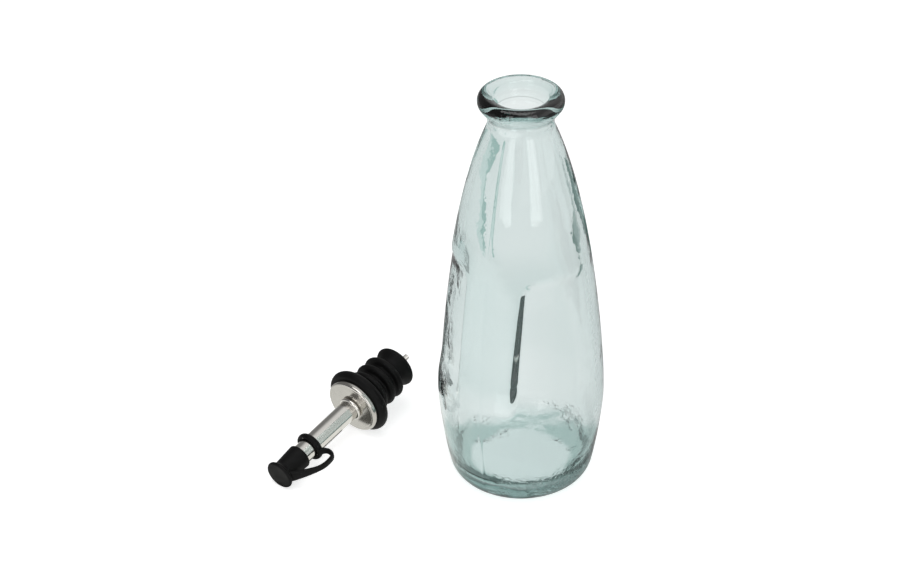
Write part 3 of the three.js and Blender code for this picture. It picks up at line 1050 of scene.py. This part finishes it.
@dataclass
class TetheredCap:
    """The rubber cap on the spout's tip, the ring round the spout, and the strap that joins them."""

    place: Place
    spout: Spout
    grip: float = 9.8
    end_length: float = 7.0
    mouth_radius: float = 6.7
    neck_radius: float = 5.9
    neck_height: float = 4.6
    knob_radius: float = 7.9
    knob_round: float = 1.1
    knob_handle: Pair = (0.9, -0.5)
    neck_handle: float = 1.2
    edge: float = 0.5
    ring_radius: float = 7.9
    ring_length: float = 3.4
    ring_from_cap: float = 8.2
    strap_width: float = 3.2
    strap_thickness: float = 1.8
    strap_reach: float = 15.7
    strap_past_ring: float = 2.2
    strap_root: float = 4.5
    strap_route: tuple[Pair, ...] = (
        (-0.25, -0.1), (0.12, 0), (0.7, 0.33), (0.95, 0.55), (1, 0.76),
        (0.9, 0.93), (0.56, 1), (0.28, 0.97), (0.1, 0.9),
    )
    root_share: Pair = (0.0, 0.34)
    tail_share: Pair = (0.82, 1.0)
    thicker: Pair = (0.55, 0.35)
    wider: Pair = (1.1, 0.25)
    ring_hold: float = 1.5
    finish: RubberFinish = field(default_factory=RubberFinish)

    def __post_init__(self) -> None:
        """Works out where the cap's mouth, its inside, its end and the ring's middle lie along the axis."""
        self.mouth = self.spout.tip + self.grip
        self.bottom = self.spout.tip - self.spout.fit_gap
        self.end = self.bottom - self.end_length
        self.ring_middle = self.mouth + self.ring_from_cap

    def cap(self) -> Piece:
        """The cap: a round knob, a waist drawn in by a cubic, a tapered sleeve and a blind bore.

        Returns:
            The piece.
        """
        bore = self.spout.tube_radius + self.spout.fit_gap / 2
        end, mouth = self.end, self.mouth
        half = self.knob_round
        knob = arc((self.knob_radius - half, end + half), half, -90, 60, 16)
        neck = (self.neck_radius, end + self.neck_height)
        profile = outline(
            line((0, end), (self.knob_radius - half, end), 12),
            knob,
            bezier(knob[-1], knob[-1] - self.knob_handle, (neck[0], neck[1] - self.neck_handle), neck, 12),
            line(neck, (self.mouth_radius, mouth - self.edge), 16),
            arc((self.mouth_radius - self.edge, mouth - self.edge), self.edge, 0, 90, 8),
            line((self.mouth_radius - self.edge, mouth), (bore, mouth), 3),
            line((bore, mouth), (bore, self.bottom), 14),
            line((bore, self.bottom), (0, self.bottom), 8),
        )
        return solid("rubber_cap", self.place.points(turned(profile, round_angles(112))), Ends.POLES)

    def ring(self) -> Piece:
        """The ring: an ellipse turned round the spout.

        Returns:
            The piece.
        """
        inner = self.spout.tube_radius + self.spout.fit_gap / 2
        half = (self.ring_radius - inner) / 2
        profile = arc((inner + half, self.ring_middle), (half, self.ring_length / 2), 0, 360, 29)[:-1]
        return solid("rubber_ring", self.place.points(turned(profile, round_angles(96))), Ends.RING)

    def strap_path(self, count: int) -> Array:
        """Points of the strap's middle line: a Catmull-Rom curve through its route.

        Args:
            count: Points on each stretch of the route.

        Returns:
            Local x and y, one row each.
        """
        share = np.array(self.strap_route)
        root = self.end + self.strap_root
        far = self.ring_middle + self.strap_past_ring
        route = np.array([self.neck_radius, root]) + share * (self.strap_reach - self.neck_radius, far - root)
        route = np.vstack([2 * route[0] - route[1], route, 2 * route[-1] - route[-2]])
        t = np.linspace(0, 1, count, endpoint=False)[None, :, None]
        a, b, c, d = (route[i:len(route) - 3 + i, None, :] for i in range(4))
        bend = 2 * b + (c - a) * t + (2 * a - 5 * b + 4 * c - d) * t ** 2 + (3 * b - a - 3 * c + d) * t ** 3
        return np.vstack([(bend / 2).reshape(-1, 2), route[-2]])

    def strap(self) -> Piece:
        """The strap: a rounded oblong section carried along its route, wider towards the cap and the ring.

        The section is a superellipse, |cos|^0.5 and |sin|^0.5 with their signs, across the route and up.

        Returns:
            The piece.
        """
        path = self.strap_path(10)
        ahead = np.gradient(path, axis=0)
        ahead /= np.linalg.norm(ahead, axis=1, keepdims=True)
        normal = np.stack([ahead[:, 1], -ahead[:, 0]], axis=1)
        share = np.linspace(0, 1, len(path))
        root = 1 - smooth_step(share, *self.root_share)
        swell = np.stack([root, smooth_step(share, *self.tail_share)], axis=1)
        half_thick = self.strap_thickness / 2 * (1 + swell @ self.thicker)
        half_wide = self.strap_width / 2 * (1 + swell @ self.wider)
        angle = round_angles(28)
        circle = np.stack([np.cos(angle), np.sin(angle)])
        corner_x, corner_z = np.sign(circle) * np.sqrt(np.abs(circle))
        across = (normal * half_thick[:, None])[:, None, :] * corner_x[None, :, None]
        level = half_wide[:, None] * corner_z[None, :]
        rows = np.concatenate([path[:, None, :] + across, level[..., None]], axis=-1)
        middles = np.broadcast_to(rows.mean(axis=1, keepdims=True), rows.shape)
        grid = np.concatenate([middles[:1], rows, middles[-1:]])
        return solid("rubber_strap", self.place.points(grid), Ends.POLES)

    def build(self) -> None:
        """Makes the rubber pieces and dresses the cap and the ring; the strap gets the rubber and stays where
        it is built, from the ring to the cap.
        """
        rubber = self.finish.material()
        dress(self.cap(), rubber, "cap", "spout_cap")
        dress(self.ring(), rubber, "tether", "tether_ring")
        strap = self.strap()
        strap.data.materials.append(rubber)
        ring, cap = self.ring_middle - self.ring_hold, self.end + self.neck_height
        ring_end, cap_end = self.place.points(np.array([[0, ring, 0], [0, cap, 0]]))
        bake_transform(strap)
        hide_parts("tether_strap")
        LOG.info("%s bends from tether to cap: %d faces", strap.name, len(strap.data.polygons))


def direction(azimuth: float, elevation: float) -> Vector:
    """The unit vector from the object towards an azimuth and elevation; azimuth 0 is -Y and 90 is +X."""
    a, e = math.radians(azimuth), math.radians(elevation)
    return Vector((math.sin(a) * math.cos(e), -math.cos(a) * math.cos(e), math.sin(e)))


def aim(item: Piece, target: Vector, distance: float, away: Vector) -> None:
    """Puts a lamp or camera at a distance from the target, in the direction away, and turns it to face it."""
    item.location = target + distance * away
    item.rotation_euler = away.to_track_quat("Z", "Y").to_euler()


def sheet(name: str, corners: list[Vector | Colour], material: Material) -> Piece:
    """Makes one flat face for the studio.

    Args:
        name: Name of the object.
        corners: Its corners in order, in metres.
        material: Its material.

    Returns:
        The object.
    """
    mesh = bpy.data.meshes.new(name)
    mesh.from_pydata(corners, [], [tuple(range(len(corners)))])
    mesh.materials.append(material)
    return placed(name, mesh)


@dataclass
class Softbox:
    """A soft lamp aimed at the object, placed by its azimuth and elevation as seen from it."""

    name: str
    azimuth: float
    elevation: float
    distance: float
    size: Pair
    power: float

    def build(self, target: Vector) -> None:
        """Adds the lamp.

        Args:
            target: The point it faces, in metres.
        """
        lamp = bpy.data.lights.new(self.name, "AREA")
        lamp.shape = "RECTANGLE"
        lamp.size, lamp.size_y = self.size
        lamp.energy = self.power
        holder = placed(self.name, lamp)
        aim(holder, target, self.distance, direction(self.azimuth, self.elevation))
        holder.visible_camera = False


@dataclass(frozen=True)
class Card:
    """A glowing card that lies on the floor beside the object, seen only in glass and metal, where it paints
    dark or tinted shade.

    Its corners run to the camera's right and away from it, in metres.
    """

    name: str
    corners: tuple[Pair, ...]
    colour: Colour
    mirrored_only: bool = False
    lift: float = 0.0006

    def build(self, azimuth: float) -> None:
        """Adds the card.

        Args:
            azimuth: The camera's azimuth.
        """
        away, right = direction(azimuth + 180, 0), direction(azimuth + 90, 0)
        up = Vector((0, 0, self.lift))
        nodes = Nodes(bpy.data.materials.new(self.name))
        surface = nodes.add("Emission", {"Color": (*self.colour, 1)})
        if self.mirrored_only:
            through = nodes.add("LightPath").outputs["Is Transmission Ray"]
            clear = nodes.add("BsdfTransparent").outputs[0]
            surface = nodes.add("MixShader", {0: through, 1: surface.outputs[0], 2: clear})
        corners = [u * right + v * away + up for u, v in self.corners]
        card = sheet(self.name, corners, nodes.finish(surface))
        card.visible_camera = card.visible_diffuse = card.visible_shadow = False


@dataclass(frozen=True)
class GlowSpot:
    """A painted glowing patch of the floor, seen only in reflections, that puts a painted highlight on the
    steel: full inside the first reach and gone past the second.
    """

    place: Colour
    light: Colour
    reach: Pair


@dataclass
class Studio:
    """The floor with its cards, the surroundings, the lamps and the camera at the photograph's angle."""

    azimuth: float = 27.0
    elevation: float = 33.0
    distance: float = 1.3
    aim_height: float = 0.1118
    focal_pixels: float = 2610.0
    frame_width: float = 900.0
    bottle_pixel: float = 521.0
    sensor: float = 36.0
    floor_size: float = 6.0
    floor_paint: Colour = (0.8, 0.8, 0.8)
    floor_glow: float = 0.68
    table_light: Colour = (0.97, 0.97, 0.97)
    mirrored: Colour = (0.42, 0.42, 0.42)
    # Painted glows on the floor, seen only in reflections, that put painted highlights on the steel
    glow_spots: tuple[GlowSpot, ...] = (
        GlowSpot((-0.25, -0.25, 0.0), (2.4, 2.4, 2.4), (0.12, 0.34)),
        GlowSpot((-0.1, 0.015, 0.0), (0.92, 0.93, 0.9), (0.055, 0.09)),
    )
    # Painted shadow of the bottle, tinted by its glass, which the floor shows only through the glass
    shade: Colour = (0.95, 0.98, 0.98)
    shade_rim: Colour = (0.56, 0.68, 0.66)
    shade_inner: Pair = (0.026, 0.031)
    shade_outer: Pair = (0.038, 0.05)
    shade_stretch: Colour = (0.45, 1.3, 1.0)
    # Painted shade seen only in glass and metal: glowing dark and teal sheets that make the dark bar and the
    # dark and teal streaks in the bottle
    cards: tuple[Card, ...] = (
        Card("black_card", (
            (-0.146, 0.165), (-0.12, 0.181), (-0.048, 0.07), (-0.078, 0.052),
        ), (0.02, 0.03, 0.028)),
        Card("left_card", (
            *LEFT_SIDE, (-0.5, 0.62), (-0.19, 0.41), (-0.082, 0.3), (-0.057, 0.22),
        ), (0.72, 0.83, 0.81)),
        Card("left_edge_card", (
            *LEFT_SIDE, (-0.37, 0.62), (-0.14, 0.405), (-0.057, 0.325), (-0.049, 0.24),
        ), (0.4, 0.57, 0.54), lift=0.0007),
        # Painted contact shadow of the spout tube on the floor, seen only in the steel's reflections
        Card("contact_shadow_card", (
            (-0.127, -0.019), (-0.118, -0.026), (-0.085, 0.018), (-0.094, 0.025),
        ), (0.12, 0.12, 0.11), mirrored_only=True),
        Card("right_card", (
            (0.066, 0.2), (0.15, 0.235), (0.21, 0.275), (0.34, 0.33), (0.34, 0.41), (0.22, 0.4), (0.136, 0.3),
            (0.08, 0.25), (0.063, 0.22),
        ), (0.14, 0.24, 0.22)),
    )
    surround: float = 0.42
    # Reflections only: a painted reflection, dark on one side (wall) and bright across the other (bright),
    # which lights nothing else
    sheen: float = 0.95
    wall: float = 0.26
    dark_side_edge: Pair = (-0.3, 0.1)
    bright: float = 1.5
    bright_edge: Pair = (0.7, 0.8)
    lamps: tuple[Softbox, ...] = (
        Softbox("left_softbox", -1.0, 14.0, 1.3, (0.45, 1.2), 2.6),
        Softbox("right_softbox", 57.0, 14.0, 1.3, (0.5, 1.2), 2.9),
        Softbox("top_softbox", 10.0, 78.0, 1.2, (1.0, 0.8), 5.0),
    )

    def target(self) -> Vector:
        """The point that the camera and the lamps face."""
        return Vector((0, 0, self.aim_height))

    def camera(self) -> None:
        """The camera, turned about the bottle, with the sideways shift of the photograph's framing."""
        lens = bpy.data.cameras.new("camera")
        lens.sensor_width = self.sensor
        lens.lens = self.focal_pixels / self.frame_width * self.sensor
        lens.shift_x = 0.5 - self.bottle_pixel / self.frame_width
        holder = placed("camera", lens)
        aim(holder, self.target(), self.distance, direction(self.azimuth, self.elevation))
        bpy.context.scene.camera = holder

    def level(self, nodes: Nodes) -> Socket:
        """The point on the floor, measured to the right of the studio's view and away from it."""
        source, turn = nodes.add("TexCoord").outputs["Object"], (0, 0, -math.radians(self.azimuth))
        return nodes.add("Mapping", {"Vector": source, "Rotation": turn}).outputs[0]

    def table(self, nodes: Nodes) -> Socket:
        """Colour of the floor as it shows through glass: near white, with a painted shadow of the bottle,
        tinted teal, round its foot.

        Args:
            nodes: The floor's material.

        Returns:
            The colour.
        """
        level = self.level(nodes)
        inner = nodes.between(nodes.length(level), *self.shade_inner)
        outer = nodes.between(nodes.length(nodes.stretched(level, self.shade_stretch)), *self.shade_outer)
        return nodes.mixed(outer, nodes.mixed(inner, self.shade, self.shade_rim), self.table_light)

    def reflection(self, nodes: Nodes) -> Socket:
        """Colour of the floor as it shows in reflections: an even grey glow, with painted glowing patches.

        Args:
            nodes: The floor's material.

        Returns:
            The colour.
        """
        level = self.level(nodes)
        colour: Colour | Socket = self.mirrored
        for spot in self.glow_spots:
            apart = nodes.add("VectorMath", {0: level, 1: spot.place}, operation="DISTANCE").outputs["Value"]
            colour = nodes.mixed(nodes.between(apart, *spot.reach), spot.light, colour)
        return colour

    def floor(self) -> None:
        """A floor that takes the shadow and is white to the camera, with painted shade in glass and painted
        glows in metal.
        """
        half = self.floor_size / 2
        corners = [(-half, -half, 0), (half, -half, 0), (half, half, 0), (-half, half, 0)]
        nodes = Nodes(bpy.data.materials.new("pale_floor"))
        path = nodes.add("LightPath").outputs
        paint = nodes.add("BsdfDiffuse", {"Color": (*self.floor_paint, 1)})
        white = nodes.add("Emission", {"Strength": nodes.product(path["Is Camera Ray"], self.floor_glow)})
        both = nodes.add("AddShader", {0: paint.outputs[0], 1: white.outputs[0]})
        colour = nodes.mixed(path["Is Transmission Ray"], self.reflection(nodes), self.table(nodes))
        seen = nodes.add("Emission", {"Color": colour})
        shiny = nodes.folded("MAXIMUM", path["Is Glossy Ray"], path["Is Transmission Ray"])
        links = {0: shiny, 1: both.outputs[0], 2: seen.outputs[0]}
        plane = sheet("floor", corners, nodes.finish(nodes.add("MixShader", links)))

    def world(self) -> None:
        """White to the camera and through glass; in reflections a painted dark side and a painted bright
        band; else a soft grey.
        """
        world = bpy.data.worlds.new("surroundings")
        bpy.context.scene.world = world
        nodes = Nodes(world)
        path = nodes.add("LightPath").outputs
        sight = nodes.add("TexCoord").outputs["Generated"]
        links = {0: sight, 1: direction(self.azimuth + 90, 0)}
        across = nodes.add("VectorMath", links, operation="DOT_PRODUCT").outputs["Value"]
        # Painted reflection, seen only by glossy rays: dark on one side, bright on the other
        wall = nodes.chosen(nodes.between(across, *self.dark_side_edge), self.wall, self.sheen)
        side = nodes.chosen(nodes.between(across, *self.bright_edge), wall, self.bright)
        metal = nodes.chosen(path["Is Glossy Ray"], self.surround, side)
        seen = nodes.folded("MAXIMUM", path["Is Camera Ray"], path["Is Transmission Ray"])
        nodes.finish(nodes.add("Background", {"Strength": nodes.chosen(seen, metal, 1.0)}))

    def build(self) -> None:
        """Sets the scene up round the object."""
        bpy.context.scene.view_settings.view_transform = "Standard"
        self.camera()
        self.floor()
        for card in self.cards:
            card.build(self.azimuth)
        self.world()
        for lamp in self.lamps:
            lamp.build(self.target())


def pourer_place() -> Place:
    """The pourer's own frame, from the axis that its tether turns on.

    Returns:
        The frame, with its origin at the seat of the stopper.
    """
    joint = next(j for j in frame["joints"] if j["name"] == "tether_turn")
    along = np.array(joint["axis"], float)
    return Place.on_axis(np.array(joint["pos_m"]) - MM * RING_STATION * along, along)


def main() -> None:
    """Builds the studio, the bottle and the pourer."""
    logging.basicConfig(level=logging.INFO, format="%(message)s")
    Studio().build()
    Bottle().build()
    place = pourer_place()
    spout = Spout(place)
    spout.build()
    Stopper(place, spout).build()
    TetheredCap(place, spout).build()


if __name__ == "__main__":
    main()
